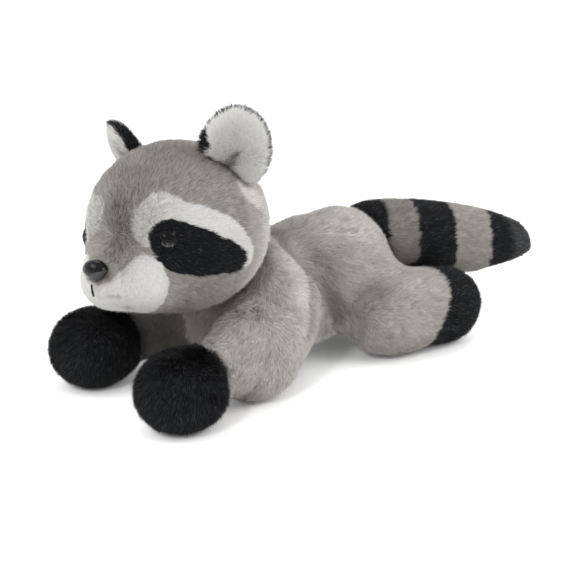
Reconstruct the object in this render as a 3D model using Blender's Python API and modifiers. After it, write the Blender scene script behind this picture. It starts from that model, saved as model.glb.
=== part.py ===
"""A plush raccoon lying on its belly: stuffed forms, sewn panels, eyes, nose and banded tail.

It looks towards -Y with its left side at +X, and it lies on the plane z = 0. Lengths are in metres.
"""

import math

import bmesh
import bpy
from mathutils import Euler, Matrix, Vector
from mathutils.bvhtree import BVHTree

# Fits between pieces
GAP = 0.0003
PANEL = 0.003
FLOOR_PRESS = 0.002

# Torso: three lobes that hang from the line of the back
BACK_HEIGHT = 0.092
CHEST_WIDTH = 0.114
CHEST_LENGTH = 0.076
CHEST_Y = -0.020
WAIST_WIDTH = 0.070
WAIST_LENGTH = 0.084
WAIST_HEIGHT = 0.087
WAIST_BEHIND_CHEST = 0.049
HIP_WIDTH = 0.078
HIP_LENGTH = 0.062
HIP_HEIGHT = 0.080
HIP_BEHIND_WAIST = 0.028
BELLY_PANEL_WIDTH = 0.052
BELLY_PANEL_LENGTH = 0.068
BELLY_PANEL_TOP = 0.034
BELLY_PANEL_BEFORE_CHEST = 0.015

# Front legs: a shoulder lobe beside the chest and a paw lobe before it
SHOULDER_WIDTH = 0.050
SHOULDER_LENGTH = 0.074
SHOULDER_HEIGHT = 0.069
SHOULDER_SUNK = 0.044
SHOULDER_BEFORE_CHEST = 0.022
PAW_WIDTH = 0.057
PAW_LENGTH = 0.062
PAW_HEIGHT = 0.052
PAW_BEFORE_SHOULDER = 0.060
PAW_OUTSIDE_SHOULDER = 0.006
PAW_SEAM_BEHIND_PAW = 0.014

# Hind legs: a thigh lobe beside the hips and a foot lobe behind it
THIGH_WIDTH = 0.056
THIGH_LENGTH = 0.086
THIGH_HEIGHT = 0.058
THIGH_SUNK = 0.031
THIGH_BEHIND_HIP = 0.018
FOOT_WIDTH = 0.050
FOOT_LENGTH = 0.056
FOOT_HEIGHT = 0.054
FOOT_OUTSIDE_THIGH = 0.006
FOOT_BEHIND_THIGH = 0.034
FOOT_SEAM_BEFORE_FOOT = 0.010

# Tail: a straight axis that droops, with a slight upward bow
TAIL_ROOT_DEPTH = 0.034
TAIL_ROOT_BELOW_BACK = 0.0195
TAIL_DROOP = 14.0
TAIL_BOW = 0.0025
TAIL_ROOT_RADIUS = 0.0210
TAIL_MIDDLE_RADIUS = 0.0245
TAIL_END_RADIUS = 0.0145
TAIL_TIP_ROUND = 0.026
TAIL_ROOT_ROUND = 0.034
TAIL_END_SHARE = 0.1
TAIL_BANDS = (0.0390, 0.0220, 0.0305, 0.0370, 0.0540)
TAIL_LENGTH = sum(TAIL_BANDS) + (len(TAIL_BANDS) - 1) * GAP

# Head: a round lobe with a snout and two cheeks
HEAD_WIDTH = 0.112
HEAD_DEPTH = 0.108
HEAD_HEIGHT = 0.102
HEAD_BEFORE_CHEST = 0.0505
HEAD_CENTRE_HEIGHT = 0.105
HEAD_YAW = 6.5
HEAD_ROLL = 12.0
SNOUT_WIDTH = 0.038
SNOUT_LENGTH = 0.054
SNOUT_HEIGHT = 0.038
SNOUT_REACH = 0.0175
SNOUT_DROP = 0.0205
CHEEK_WIDTH = 0.046
CHEEK_LENGTH = 0.048
CHEEK_HEIGHT = 0.042
CHEEK_REACH = 0.0105
CHEEK_DROP = 0.0215
CHEEK_SPREAD = 0.028

# Face panels: outlines seen from the side of the face, in millimetres across and up
SIDE_VIEW = 50.0
MASK_OUTLINE = (
    (-19.0, 2.0), (-15.5, 11.0), (-6.5, 13.5), (8.5, 6.5), (26.5, -5.0), (35.0, -16.0),
    (30.5, -25.0), (17.5, -24.0), (0.5, -20.5), (-9.5, -15.0), (-16.5, -6.0),
)
BROW_OUTLINE = (
    (-27.5, 5.0), (-25.0, 15.0), (-18.5, 23.5), (-8.0, 27.5), (8.0, 19.0), (26.5, 9.0),
    (38.0, -7.0), (39.5, -18.0), (34.0, -25.0), (22.5, -17.0), (-2.5, -6.0), (-18.5, -1.0),
)
OUTLINE_UNIT = 0.001
BROW_START = 0.010
MASK_START = 0.012
CHEEK_PANEL_RADII = (0.0235, 0.022, 0.0200)
CHEEK_PANEL_TILT = 15.0
CHEEK_PANEL_BEFORE_CHEEK = 0.012

# Eyes and nose: moulded plastic domes with a shank and a lock washer
EYE_DIAMETER = 0.0104
EYE_HEIGHT = 0.0070
EYE_AZIMUTH = 42.5
EYE_ELEVATION = 2.3
EYE_SUNK = 0.0018
NOSE_WIDTH = 0.0185
NOSE_HEIGHT = 0.0125
NOSE_DEPTH = 0.0110
NOSE_TAPER = 0.45
NOSE_ELEVATION = -9.0
SHANK_DIAMETER = 0.003
SHANK_LENGTH = 0.009
WASHER_DIAMETER = 0.010
WASHER_THICKNESS = 0.0012
MOUTH_THREAD_LENGTH = 0.0065
MOUTH_THREAD_DIAMETER = 0.0012

# Ears: cupped discs at the upper sides of the head
EAR_WIDTH = 0.0415
EAR_HEIGHT = 0.058
EAR_THICKNESS = 0.015
EAR_SUNK = {"left": 0.0190, "right": 0.0245}
EAR_FROM_TOP = 49.4
EAR_BACK = 13.0
EAR_TURN_OUT = 45.0
EAR_UPRIGHT = {"left": 19.0, "right": 12.0}
EAR_CUP_DEPTH = 0.003
EAR_RIM = 0.001
EAR_LINING = 0.0045

# Fineness of the soft forms
BODY_VOXEL = 0.0068
HEAD_VOXEL = 0.0056
LIMB_VOXEL = 0.0072
RELAX_STEPS = 6
KEPT_FACES = 0.27
TAIL_STEPS = 4
TAIL_END_STEPS = 9
THREAD_STEPS = 5
WELD = 0.00001

# Boxes that cut a form reach this far, well past the toy
FAR = 0.4

SIDES = (("left", 1), ("right", -1))

# Thin panels run almost along the forms that they are sewn to, where the exact solver leaves holes.
THIN = "MANIFOLD"

LOOKS = {
    "grey_plush": ((0.34, 0.31, 0.28), 0.95),
    "pale_plush": ((0.70, 0.68, 0.65), 0.95),
    "black_plush": ((0.012, 0.013, 0.015), 0.95),
    "eye_plastic": ((0.006, 0.006, 0.007), 0.12),
    "nose_plastic": ((0.010, 0.010, 0.011), 0.30),
    "washer_plastic": ((0.75, 0.75, 0.73), 0.45),
    "thread": ((0.010, 0.010, 0.012), 0.80),
}


def collection(name):
    group = bpy.data.collections.new(name)
    bpy.context.scene.collection.children.link(group)
    return group


def clear_scene():
    for obj in list(bpy.data.objects):
        bpy.data.objects.remove(obj)


clear_scene()
PARTS = collection("plush_raccoon")
CUTTERS = collection("cutters")
WHOLE = bpy.data.objects.new("whole", None)
PARTS.objects.link(WHOLE)


def new_object(name, data, parent, part=False):
    """A part, or a hidden helper, placed under an empty."""
    obj = bpy.data.objects.new(name, data)
    (PARTS if part else CUTTERS).objects.link(obj)
    obj.parent = parent
    if not part:
        obj.hide_render = True
        obj.display_type = "WIRE"
    return obj


def paint(obj, look):
    colour, roughness = LOOKS[look]
    material = bpy.data.materials.new(f"{obj.name}_{look}")
    material.use_nodes = True
    shader = material.node_tree.nodes["Principled BSDF"]
    shader.inputs["Base Color"].default_value = (*colour, 1)
    shader.inputs["Roughness"].default_value = roughness
    shader.inputs["Metallic"].default_value = 0
    obj.data.materials.clear()
    obj.data.materials.append(material)


def evaluated_mesh(obj):
    graph = bpy.context.evaluated_depsgraph_get()
    return bpy.data.meshes.new_from_object(obj.evaluated_get(graph))


def settled(obj):
    """The object with its modifiers worked into its mesh."""
    mesh = evaluated_mesh(obj)
    obj.modifiers.clear()
    obj.data = mesh
    return obj


def ellipsoid(name, place, size, parent, segments=24):
    """A UV sphere stretched to three full sizes and placed by a matrix."""
    mesh = bpy.data.meshes.new(name)
    shape = bmesh.new()
    matrix = place @ Matrix.Diagonal((*size, 1))
    bmesh.ops.create_uvsphere(shape, u_segments=segments, v_segments=segments // 2, radius=0.5, matrix=matrix)
    shape.to_mesh(mesh)
    shape.free()
    return new_object(name, mesh, parent)


def cylinder(name, place, diameter, length, parent, segments=16):
    """A cylinder from the matrix's origin along its +Z."""
    mesh = bpy.data.meshes.new(name)
    shape = bmesh.new()
    matrix = place @ Matrix.Translation((0, 0, length / 2))
    radii = {"radius1": diameter / 2, "radius2": diameter / 2}
    bmesh.ops.create_cone(shape, cap_ends=True, segments=segments, depth=length, matrix=matrix, **radii)
    shape.to_mesh(mesh)
    shape.free()
    return new_object(name, mesh, parent)


def box(name, low, high, parent):
    """A block between two corners."""
    mesh = bpy.data.meshes.new(name)
    shape = bmesh.new()
    low, high = Vector(low), Vector(high)
    matrix = Matrix.Translation((low + high) / 2) @ Matrix.Diagonal((*(high - low), 1))
    bmesh.ops.create_cube(shape, size=1, matrix=matrix)
    shape.to_mesh(mesh)
    shape.free()
    return new_object(name, mesh, parent)


def blob(name, lobes, voxel, parent):
    """One smooth skin over overlapping lobes, each a centre and three full sizes."""
    mesh = bpy.data.meshes.new(name)
    shape = bmesh.new()
    for centre, size in lobes:
        matrix = Matrix.Translation(centre) @ Matrix.Diagonal((*size, 1))
        bmesh.ops.create_uvsphere(shape, u_segments=32, v_segments=20, radius=0.5, matrix=matrix)
    shape.to_mesh(mesh)
    shape.free()
    obj = new_object(name, mesh, parent)
    skin = obj.modifiers.new("one_skin", "REMESH")
    skin.mode = "VOXEL"
    skin.voxel_size = voxel
    relax = obj.modifiers.new("relax", "SMOOTH")
    relax.factor = 0.5
    relax.iterations = RELAX_STEPS
    thin_out = obj.modifiers.new("thin_out", "DECIMATE")
    thin_out.ratio = KEPT_FACES
    return settled(obj)


def grown(source, name, distance):
    """A helper whose surface lies this far outside the source, or inside it where negative."""
    obj = new_object(name, source.data.copy(), source.parent)
    push = obj.modifiers.new("push", "DISPLACE")
    push.mid_level = 0
    push.strength = distance
    return settled(obj)


def combine(piece, tool, operation, solver="EXACT"):
    step = piece.modifiers.new(tool.name, "BOOLEAN")
    step.operation = operation
    step.solver = solver
    step.object = tool


def cut(piece, *tools, solver="EXACT"):
    for tool in tools:
        combine(piece, tool, "DIFFERENCE", solver)


def keep_inside(piece, *tools, solver="EXACT"):
    for tool in tools:
        combine(piece, tool, "INTERSECT", solver)


def part_from(source, name, look):
    """A part that starts as a copy of a helper's shape."""
    obj = new_object(name, source.data.copy(), source.parent, part=True)
    paint(obj, look)
    return obj


def floor_block():
    return box("floor_block", (-FAR, -FAR, -FAR), (FAR, FAR, 0), WHOLE)


def torso_lobes():
    """The centres and sizes of the chest, the waist and the hips."""

    def lobe(y, width, length, height):
        return (0, y, BACK_HEIGHT - height / 2), (width, length, height)

    waist_y = CHEST_Y + WAIST_BEHIND_CHEST
    chest_height = BACK_HEIGHT + FLOOR_PRESS
    return (
        lobe(CHEST_Y, CHEST_WIDTH, CHEST_LENGTH, chest_height),
        lobe(waist_y, WAIST_WIDTH, WAIST_LENGTH, WAIST_HEIGHT),
        lobe(waist_y + HIP_BEHIND_WAIST, HIP_WIDTH, HIP_LENGTH, HIP_HEIGHT),
    )


def limb(name, side, near, far, floor):
    """A leg as one form over two lobes, pressed flat by the floor."""
    lobes = [((side * x, y, size[2] / 2 - FLOOR_PRESS), size) for x, y, size in (near, far)]
    form = blob(name, lobes, LIMB_VOXEL, WHOLE)
    cut(form, floor)
    return settled(form)


def front_leg(label, side, floor):
    """A front leg's form and the place of the seam above its paw."""
    x = CHEST_WIDTH / 2 + SHOULDER_WIDTH / 2 - SHOULDER_SUNK
    shoulder_y = CHEST_Y - SHOULDER_BEFORE_CHEST
    paw_y = shoulder_y - PAW_BEFORE_SHOULDER
    shoulder = (x, shoulder_y, (SHOULDER_WIDTH, SHOULDER_LENGTH, SHOULDER_HEIGHT))
    paw = (x + PAW_OUTSIDE_SHOULDER, paw_y, (PAW_WIDTH, PAW_LENGTH, PAW_HEIGHT))
    form = limb(f"front_leg_form_{label}", side, shoulder, paw, floor)
    return form, paw_y + PAW_SEAM_BEHIND_PAW


def hind_leg(label, side, floor):
    """A hind leg's form and the place of the seam above its foot."""
    hip_y = CHEST_Y + WAIST_BEHIND_CHEST + HIP_BEHIND_WAIST
    x = HIP_WIDTH / 2 + THIGH_WIDTH / 2 - THIGH_SUNK
    thigh_y = hip_y + THIGH_BEHIND_HIP
    foot_y = thigh_y + FOOT_BEHIND_THIGH
    thigh = (x, thigh_y, (THIGH_WIDTH, THIGH_LENGTH, THIGH_HEIGHT))
    foot = (x + FOOT_OUTSIDE_THIGH, foot_y, (FOOT_WIDTH, FOOT_LENGTH, FOOT_HEIGHT))
    form = limb(f"hind_leg_form_{label}", side, thigh, foot, floor)
    return form, foot_y - FOOT_SEAM_BEFORE_FOOT


def split_limb(form, seam_y, leg_name, end_name, towards):
    """Cuts a leg at its seam into a grey leg and the black end on the side given by towards."""

    def beyond(name, start):
        low, high = sorted((start, start + towards * FAR))
        return box(name, (-FAR, low, -FAR), (FAR, high, FAR), WHOLE)

    leg = part_from(form, leg_name, "grey_plush")
    cut(leg, beyond(f"{leg_name}_cutter", seam_y - towards * GAP / 2))
    end = part_from(form, end_name, "black_plush")
    keep_inside(end, beyond(f"{end_name}_space", seam_y + towards * GAP / 2))
    return leg


def tail_point(along):
    """The place on the tail's centreline at this distance from its root."""
    share = along / TAIL_LENGTH
    root_y = torso_rear() - TAIL_ROOT_DEPTH
    slope = math.radians(TAIL_DROOP)
    bow = TAIL_BOW * 4 * share * (1 - share)
    z = BACK_HEIGHT - TAIL_ROOT_BELOW_BACK - along * math.sin(slope) + bow
    return Vector((0, root_y + along * math.cos(slope), z))


def torso_rear():
    return CHEST_Y + WAIST_BEHIND_CHEST + HIP_BEHIND_WAIST + HIP_LENGTH / 2


def tail_radius(along):
    """A curve through the three radii, closed by a round root and a round tip."""
    share = along / TAIL_LENGTH
    swell = TAIL_MIDDLE_RADIUS - (TAIL_ROOT_RADIUS + TAIL_END_RADIUS) / 2
    radius = TAIL_ROOT_RADIUS * (1 - share) + TAIL_END_RADIUS * share + swell * 4 * share * (1 - share)
    into_root = max(1 - along / TAIL_ROOT_ROUND, 0)
    into_tip = max(1 - (TAIL_LENGTH - along) / TAIL_TIP_ROUND, 0)
    into_end = max(into_root, into_tip)
    return radius * max(math.sqrt(1 - into_end**2), TAIL_END_SHARE)


def tail_band(index, start, end):
    """One ring of the tail as a tube that follows the centreline."""
    curve = bpy.data.curves.new(f"tail_band_{index}", "CURVE")
    curve.dimensions = "3D"
    curve.bevel_depth = 1
    curve.bevel_resolution = 4
    curve.use_fill_caps = True
    first = index == 1
    last = index == len(TAIL_BANDS)
    steps = TAIL_END_STEPS if first or last else TAIL_STEPS
    spline = curve.splines.new("POLY")
    spline.points.add(steps)
    for step, point in enumerate(spline.points):
        share = step / steps
        if first:
            share = 1 - math.cos(share * math.pi / 2)
        if last:
            share = math.sin(share * math.pi / 2)
        along = start + (end - start) * share
        point.co = (*tail_point(along), 1)
        point.radius = tail_radius(along)
    tube = bpy.data.objects.new(curve.name, curve)
    CUTTERS.objects.link(tube)
    mesh = evaluated_mesh(tube)
    bpy.data.objects.remove(tube)
    weld_caps(mesh)
    look = "black_plush" if index % 2 else "grey_plush"
    band = new_object(f"tail_band_{index}", mesh, WHOLE, part=True)
    paint(band, look)
    return band


def weld_caps(mesh):
    """Joins the flat ends of a tube or prism to its sides."""
    shape = bmesh.new()
    shape.from_mesh(mesh)
    bmesh.ops.remove_doubles(shape, verts=shape.verts, dist=WELD)
    bmesh.ops.recalc_face_normals(shape, faces=shape.faces)
    shape.to_mesh(mesh)
    shape.free()


def tail(clearances):
    """The rings from root to tip, the first two shaped to the rump and the hind legs."""
    start = 0
    for index, length in enumerate(TAIL_BANDS, 1):
        end = start + length
        band = tail_band(index, start, end)
        if index <= 2:
            cut(band, *clearances, solver=THIN)
        start = end + GAP


def head_empty():
    """The head's own frame, at its centre."""
    empty = bpy.data.objects.new("head_pose", None)
    PARTS.objects.link(empty)
    empty.parent = WHOLE
    empty.location = (0, CHEST_Y - HEAD_BEFORE_CHEST, HEAD_CENTRE_HEIGHT)
    empty.rotation_euler = Euler((0, math.radians(-HEAD_ROLL), math.radians(HEAD_YAW)))
    bpy.context.view_layer.update()
    return empty


def cheek_centre(side):
    y = -(HEAD_DEPTH / 2 + CHEEK_REACH - CHEEK_LENGTH / 2)
    return Vector((side * CHEEK_SPREAD / 2, y, -CHEEK_DROP))


def head_lobes():
    snout_y = -(HEAD_DEPTH / 2 + SNOUT_REACH - SNOUT_LENGTH / 2)
    cheek_size = (CHEEK_WIDTH, CHEEK_LENGTH, CHEEK_HEIGHT)
    return (
        ((0, 0, 0), (HEAD_WIDTH, HEAD_DEPTH, HEAD_HEIGHT)),
        ((0, snout_y, -SNOUT_DROP), (SNOUT_WIDTH, SNOUT_LENGTH, SNOUT_HEIGHT)),
        (cheek_centre(1), cheek_size),
        (cheek_centre(-1), cheek_size),
    )


def prism(name, outline, side, parent, inner, margin=0):
    """A straight cutter through an outline drawn in the view from the side of the face.

    It starts this far from the head's centre and ends outside the head.
    """
    curve = bpy.data.curves.new(name, "CURVE")
    curve.dimensions = "2D"
    curve.fill_mode = "BOTH"
    curve.resolution_u = 2
    curve.offset = margin
    outer = HEAD_WIDTH
    curve.extrude = (outer - inner) / 2
    spline = curve.splines.new("BEZIER")
    spline.bezier_points.add(len(outline) - 1)
    spline.use_cyclic_u = True
    for point, (across, up) in zip(spline.bezier_points, outline):
        point.co = (side * across * OUTLINE_UNIT, up * OUTLINE_UNIT, 0)
        point.handle_left_type = "AUTO"
        point.handle_right_type = "AUTO"
    turn = math.radians(side * SIDE_VIEW)
    across_axis = Vector((math.cos(turn), math.sin(turn), 0))
    up_axis = Vector((0, 0, 1))
    out_axis = across_axis.cross(up_axis)
    place = Matrix((across_axis, up_axis, out_axis)).transposed().to_4x4()
    place.translation = out_axis * (inner + outer) / 2
    guide = bpy.data.objects.new(name, curve)
    CUTTERS.objects.link(guide)
    mesh = evaluated_mesh(guide)
    bpy.data.objects.remove(guide)
    weld_caps(mesh)
    mesh.transform(place)
    return new_object(name, mesh, parent)


def cheek_region(name, side, parent, margin=0):
    """The space of one white cheek panel, up to the middle of the face."""
    centre = cheek_centre(side) + Vector((0, -CHEEK_PANEL_BEFORE_CHEEK, 0))
    turn = Matrix.Rotation(math.radians(-side * CHEEK_PANEL_TILT), 4, "Y")
    size = [2 * (radius + margin) for radius in CHEEK_PANEL_RADII]
    region = ellipsoid(name, Matrix.Translation(centre) @ turn, size, parent, segments=20)
    low, high = sorted((side * (GAP / 2 - margin), -side * FAR))
    other_side = box(f"{name}_other_side", (low, -FAR, -FAR), (high, FAR, FAR), parent)
    cut(region, other_side)
    return settled(region)


def direction(azimuth, elevation):
    """A unit vector in the head's frame, with azimuth 0 straight ahead."""
    turn, rise = math.radians(azimuth), math.radians(elevation)
    return Vector((math.sin(turn) * math.cos(rise), -math.cos(turn) * math.cos(rise), math.sin(rise)))


def surface_point(form, outward, start=Vector()):
    """Where a ray from inside leaves the form, with the outward normal there."""
    corners = [vertex.co for vertex in form.data.vertices]
    tree = BVHTree.FromPolygons(corners, [face.vertices for face in form.data.polygons])
    place, normal, _, _ = tree.ray_cast(start + outward * FAR, -outward)
    return place, normal


def looking(place, outward, up=Vector((0, 0, 1))):
    """A frame at a place whose +Z points outward and whose +Y points up."""
    across = up.cross(outward).normalized()
    level = outward.cross(across)
    matrix = Matrix((across, level, outward)).transposed().to_4x4()
    matrix.translation = place
    return matrix


def plastic_set(name, look, frame, dome, parent, washer_name):
    """A dome with its shank and washer, and the helper that clears a socket for them."""
    into = frame @ Matrix.Rotation(math.pi, 4, "X")
    piece = part_from(dome, name, look)
    shank = cylinder(f"{name}_shank", into, SHANK_DIAMETER, SHANK_LENGTH, parent)
    combine(piece, shank, "UNION", THIN)
    socket = grown(dome, f"{name}_socket", GAP)
    bore = cylinder(f"{name}_bore", into, SHANK_DIAMETER + 2 * GAP, SHANK_LENGTH + GAP, parent)
    combine(socket, bore, "UNION", THIN)
    seat = PANEL + 2 * GAP + dome_depth(dome, frame)
    pocket_place = into @ Matrix.Translation((0, 0, seat - GAP))
    pocket_depth = WASHER_THICKNESS + 2 * GAP
    pocket = cylinder(f"{name}_pocket", pocket_place, WASHER_DIAMETER + 2 * GAP, pocket_depth, parent)
    combine(socket, pocket, "UNION", THIN)
    settled(socket)
    washer_place = into @ Matrix.Translation((0, 0, seat))
    ring = cylinder(f"{washer_name}_disc", washer_place, WASHER_DIAMETER, WASHER_THICKNESS, parent)
    washer = part_from(ring, washer_name, "washer_plastic")
    cut(washer, bore)
    return socket


def dome_depth(dome, frame):
    """How far a dome reaches below the surface that it sits on."""
    inverse = frame.inverted()
    return -min((inverse @ vertex.co).z for vertex in dome.data.vertices)


def eye(label, side, form, parent):
    place, normal = surface_point(form, direction(side * EYE_AZIMUTH, EYE_ELEVATION))
    frame = looking(place - normal * EYE_SUNK, normal)
    dome = ellipsoid(f"eye_dome_{label}", frame, (EYE_DIAMETER, EYE_DIAMETER, EYE_HEIGHT), parent, segments=16)
    return plastic_set(f"eye_{label}", "eye_plastic", frame, dome, parent, f"eye_washer_{label}")


def nose(form, parent):
    """An oval button, wide above and narrowing to the mouth."""
    place, _ = surface_point(form, direction(0, NOSE_ELEVATION))
    frame = Matrix.Translation(place) @ Matrix.Rotation(math.radians(90), 4, "X")
    size = (NOSE_WIDTH, NOSE_HEIGHT, NOSE_DEPTH)
    dome = ellipsoid("nose_dome", Matrix.Identity(4), size, parent, segments=20)
    for vertex in dome.data.vertices:
        down = max(-vertex.co.y / (NOSE_HEIGHT / 2), 0)
        vertex.co.x *= 1 - NOSE_TAPER * down
    dome.data.transform(frame)
    return plastic_set("nose", "nose_plastic", frame, dome, parent, "nose_washer")


def mouth_thread(form, parent):
    """A stitch that lies on the seam between the cheeks, just below the nose."""
    nose_place, _ = surface_point(form, direction(0, NOSE_ELEVATION))
    top = nose_place.z - NOSE_HEIGHT / 2 - 2 * GAP - MOUTH_THREAD_DIAMETER / 2
    curve = bpy.data.curves.new("mouth_thread", "CURVE")
    curve.dimensions = "3D"
    curve.bevel_depth = MOUTH_THREAD_DIAMETER / 2
    curve.bevel_resolution = 2
    curve.use_fill_caps = True
    spline = curve.splines.new("POLY")
    spline.points.add(THREAD_STEPS)
    lift = MOUTH_THREAD_DIAMETER / 2 + GAP
    ahead = Vector((0, -1, 0))
    for step, point in enumerate(spline.points):
        height = top - MOUTH_THREAD_LENGTH * step / THREAD_STEPS
        place, normal = surface_point(form, ahead, Vector((0, 0, height)))
        point.co = (*(place + normal * lift), 1)
    guide = bpy.data.objects.new("mouth_thread_guide", curve)
    CUTTERS.objects.link(guide)
    mesh = evaluated_mesh(guide)
    bpy.data.objects.remove(guide)
    weld_caps(mesh)
    thread = new_object("mouth_thread", mesh, parent, part=True)
    paint(thread, "thread")


def ear(label, side, form, head_clearance, parent):
    """A cupped disc with a black back that wraps round the rim of a pale lining."""
    lean = math.radians(EAR_FROM_TOP)
    back = math.radians(EAR_BACK)
    level = Vector((side * math.cos(back), math.sin(back), 0))
    outward = level * math.sin(lean) + Vector((0, 0, math.cos(lean)))
    place, _ = surface_point(form, outward)
    turn = math.radians(EAR_TURN_OUT)
    ahead = Vector((side * math.sin(turn), -math.cos(turn), 0))
    ahead = (ahead - outward * ahead.dot(outward)).normalized()
    frame = looking(place + outward * (EAR_HEIGHT / 2 - EAR_SUNK[label]), ahead, outward)
    frame = frame @ Matrix.Rotation(math.radians(side * EAR_UPRIGHT[label]), 4, "Z")
    blade = ellipsoid(f"ear_blade_{label}", frame, (EAR_WIDTH, EAR_HEIGHT, EAR_THICKNESS), parent, segments=20)
    front = EAR_THICKNESS / 2

    def dish(name, margin):
        """A shallow bowl cut into the blade's front face."""
        depth = EAR_CUP_DEPTH + margin
        radius = EAR_WIDTH / 2 - EAR_RIM + margin
        bowl = (radius**2 + depth**2) / (2 * depth)
        centre = frame @ Matrix.Translation((0, 0, front - depth + bowl))
        tall = EAR_HEIGHT / EAR_WIDTH
        return ellipsoid(name, centre, (2 * bowl, 2 * bowl * tall, 2 * bowl), parent, segments=30)

    hollow = dish(f"ear_hollow_{label}", 0)
    lining_space = dish(f"ear_lining_space_{label}", EAR_LINING - GAP)
    back_cutter = dish(f"ear_back_cutter_{label}", EAR_LINING)
    ear_back = part_from(blade, f"ear_back_{label}", "black_plush")
    cut(ear_back, back_cutter, head_clearance, solver=THIN)
    lining = part_from(blade, f"ear_lining_{label}", "pale_plush")
    keep_inside(lining, lining_space, solver=THIN)
    cut(lining, hollow, head_clearance, solver=THIN)


def head(parent):
    """The head with its panels, plastic pieces and ears. It returns the helper that clears it."""
    form = blob("head_form", head_lobes(), HEAD_VOXEL, parent)
    clearance = grown(form, "head_clearance", GAP)
    panel_back = grown(form, "head_panel_back", -PANEL)
    stuffing = grown(form, "head_stuffing", -PANEL - GAP)
    skull = part_from(form, "head", "grey_plush")
    sockets = {"nose": nose(form, parent)}
    for label, side in SIDES:
        cheek = cheek_region(f"cheek_region_{label}", side, parent)
        recess = cheek_region(f"cheek_recess_{label}", side, parent, GAP)
        sockets[label] = eye(label, side, form, parent)
        brow_recess = prism(f"brow_recess_{label}", BROW_OUTLINE, side, parent, BROW_START, GAP)
        mask_recess = prism(f"mask_recess_{label}", MASK_OUTLINE, side, parent, MASK_START, GAP)

        muzzle = part_from(form, f"muzzle_panel_{label}", "pale_plush")
        keep_inside(muzzle, cheek, solver=THIN)
        cut(muzzle, panel_back, sockets["nose"], solver=THIN)

        mask = part_from(form, f"mask_panel_{label}", "black_plush")
        mask_space = prism(f"mask_space_{label}", MASK_OUTLINE, side, parent, MASK_START)
        keep_inside(mask, mask_space, solver=THIN)
        cut(mask, panel_back, sockets[label], recess, solver=THIN)

        brow = part_from(form, f"brow_panel_{label}", "pale_plush")
        brow_space = prism(f"brow_space_{label}", BROW_OUTLINE, side, parent, BROW_START)
        keep_inside(brow, brow_space, solver=THIN)
        cut(brow, panel_back, mask_recess, recess, solver=THIN)

        cut(skull, recess, brow_recess, mask_recess, solver=THIN)
        ear(label, side, form, clearance, parent)
    combine(skull, stuffing, "UNION", THIN)
    cut(skull, *sockets.values(), solver=THIN)
    mouth_thread(form, parent)
    return clearance


def body(head_clearance):
    floor = floor_block()
    form = blob("torso_form", torso_lobes(), BODY_VOXEL, WHOLE)
    cut(form, floor)
    settled(form)
    clearances = []
    for label, side in SIDES:
        front_form, front_seam = front_leg(label, side, floor)
        arm = split_limb(front_form, front_seam, f"arm_{label}", f"front_paw_{label}", -1)
        cut(arm, head_clearance)
        hind_form, hind_seam = hind_leg(label, side, floor)
        split_limb(hind_form, hind_seam, f"hind_leg_{label}", f"hind_foot_{label}", 1)
        clearances.append(grown(front_form, f"front_leg_clearance_{label}", GAP))
        clearances.append(grown(hind_form, f"hind_leg_clearance_{label}", GAP))

    half = BELLY_PANEL_WIDTH / 2
    front = CHEST_Y - BELLY_PANEL_BEFORE_CHEST
    low = Vector((-half, front, -FAR))
    high = Vector((half, front + BELLY_PANEL_LENGTH, BELLY_PANEL_TOP))
    margin = Vector((GAP, GAP, GAP))
    space = box("belly_space", low, high, WHOLE)
    recess = box("belly_recess", low - margin, high + margin, WHOLE)
    panel = part_from(form, "belly_panel", "pale_plush")
    keep_inside(panel, space, solver=THIN)
    cut(panel, grown(form, "belly_panel_back", -PANEL), *clearances, solver=THIN)
    torso = part_from(form, "torso", "grey_plush")
    cut(torso, recess, solver=THIN)
    combine(torso, grown(form, "torso_stuffing", -PANEL - GAP), "UNION", THIN)
    cut(torso, head_clearance, *clearances, solver=THIN)
    tail([grown(form, "torso_clearance", GAP), *clearances])


def stand_on_origin():
    """Moves the whole toy so that the middle of its underside is at the origin."""
    parts = [obj for obj in PARTS.objects if obj.type == "MESH"]
    for part in parts:
        settled(part)
    bpy.context.view_layer.update()
    corners = [part.matrix_world @ vertex.co for part in parts for vertex in part.data.vertices]
    low = Vector([min(corner[axis] for corner in corners) for axis in range(3)])
    high = Vector([max(corner[axis] for corner in corners) for axis in range(3)])
    WHOLE.location = (-(low.x + high.x) / 2, -(low.y + high.y) / 2, -low.z)
    bpy.context.view_layer.update()
    for part in parts:
        part.data.shade_smooth()


body(head(head_empty()))
stand_on_origin()
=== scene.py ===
"""Looks for the plush raccoon: soft skins that carry a real pile, plastic eyes and nose, and a stitch.

Every plush piece is its share of a smooth skin a little inside the CAD solid, covered with thin pointed
fibres. The colour of a fibre comes from a palette map: across it runs the shade, up it runs the way from
root to tip.
"""

import math
from collections import namedtuple

import bmesh
import bpy
import numpy as np
from mathutils import Matrix, Vector
from mathutils.bvhtree import BVHTree


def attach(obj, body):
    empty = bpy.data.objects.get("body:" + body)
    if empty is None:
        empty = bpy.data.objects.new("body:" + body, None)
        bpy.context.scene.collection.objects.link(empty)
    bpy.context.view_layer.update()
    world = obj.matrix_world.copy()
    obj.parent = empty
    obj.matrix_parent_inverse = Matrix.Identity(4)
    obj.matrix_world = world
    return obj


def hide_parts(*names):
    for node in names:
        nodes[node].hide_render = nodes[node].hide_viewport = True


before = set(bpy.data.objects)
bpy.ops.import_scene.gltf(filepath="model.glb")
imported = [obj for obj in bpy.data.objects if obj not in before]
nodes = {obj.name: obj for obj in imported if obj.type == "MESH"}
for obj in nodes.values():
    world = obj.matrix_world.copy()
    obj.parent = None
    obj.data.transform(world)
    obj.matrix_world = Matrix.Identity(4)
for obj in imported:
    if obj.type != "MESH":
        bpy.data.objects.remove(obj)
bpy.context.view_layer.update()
random = np.random.default_rng(7)

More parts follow.
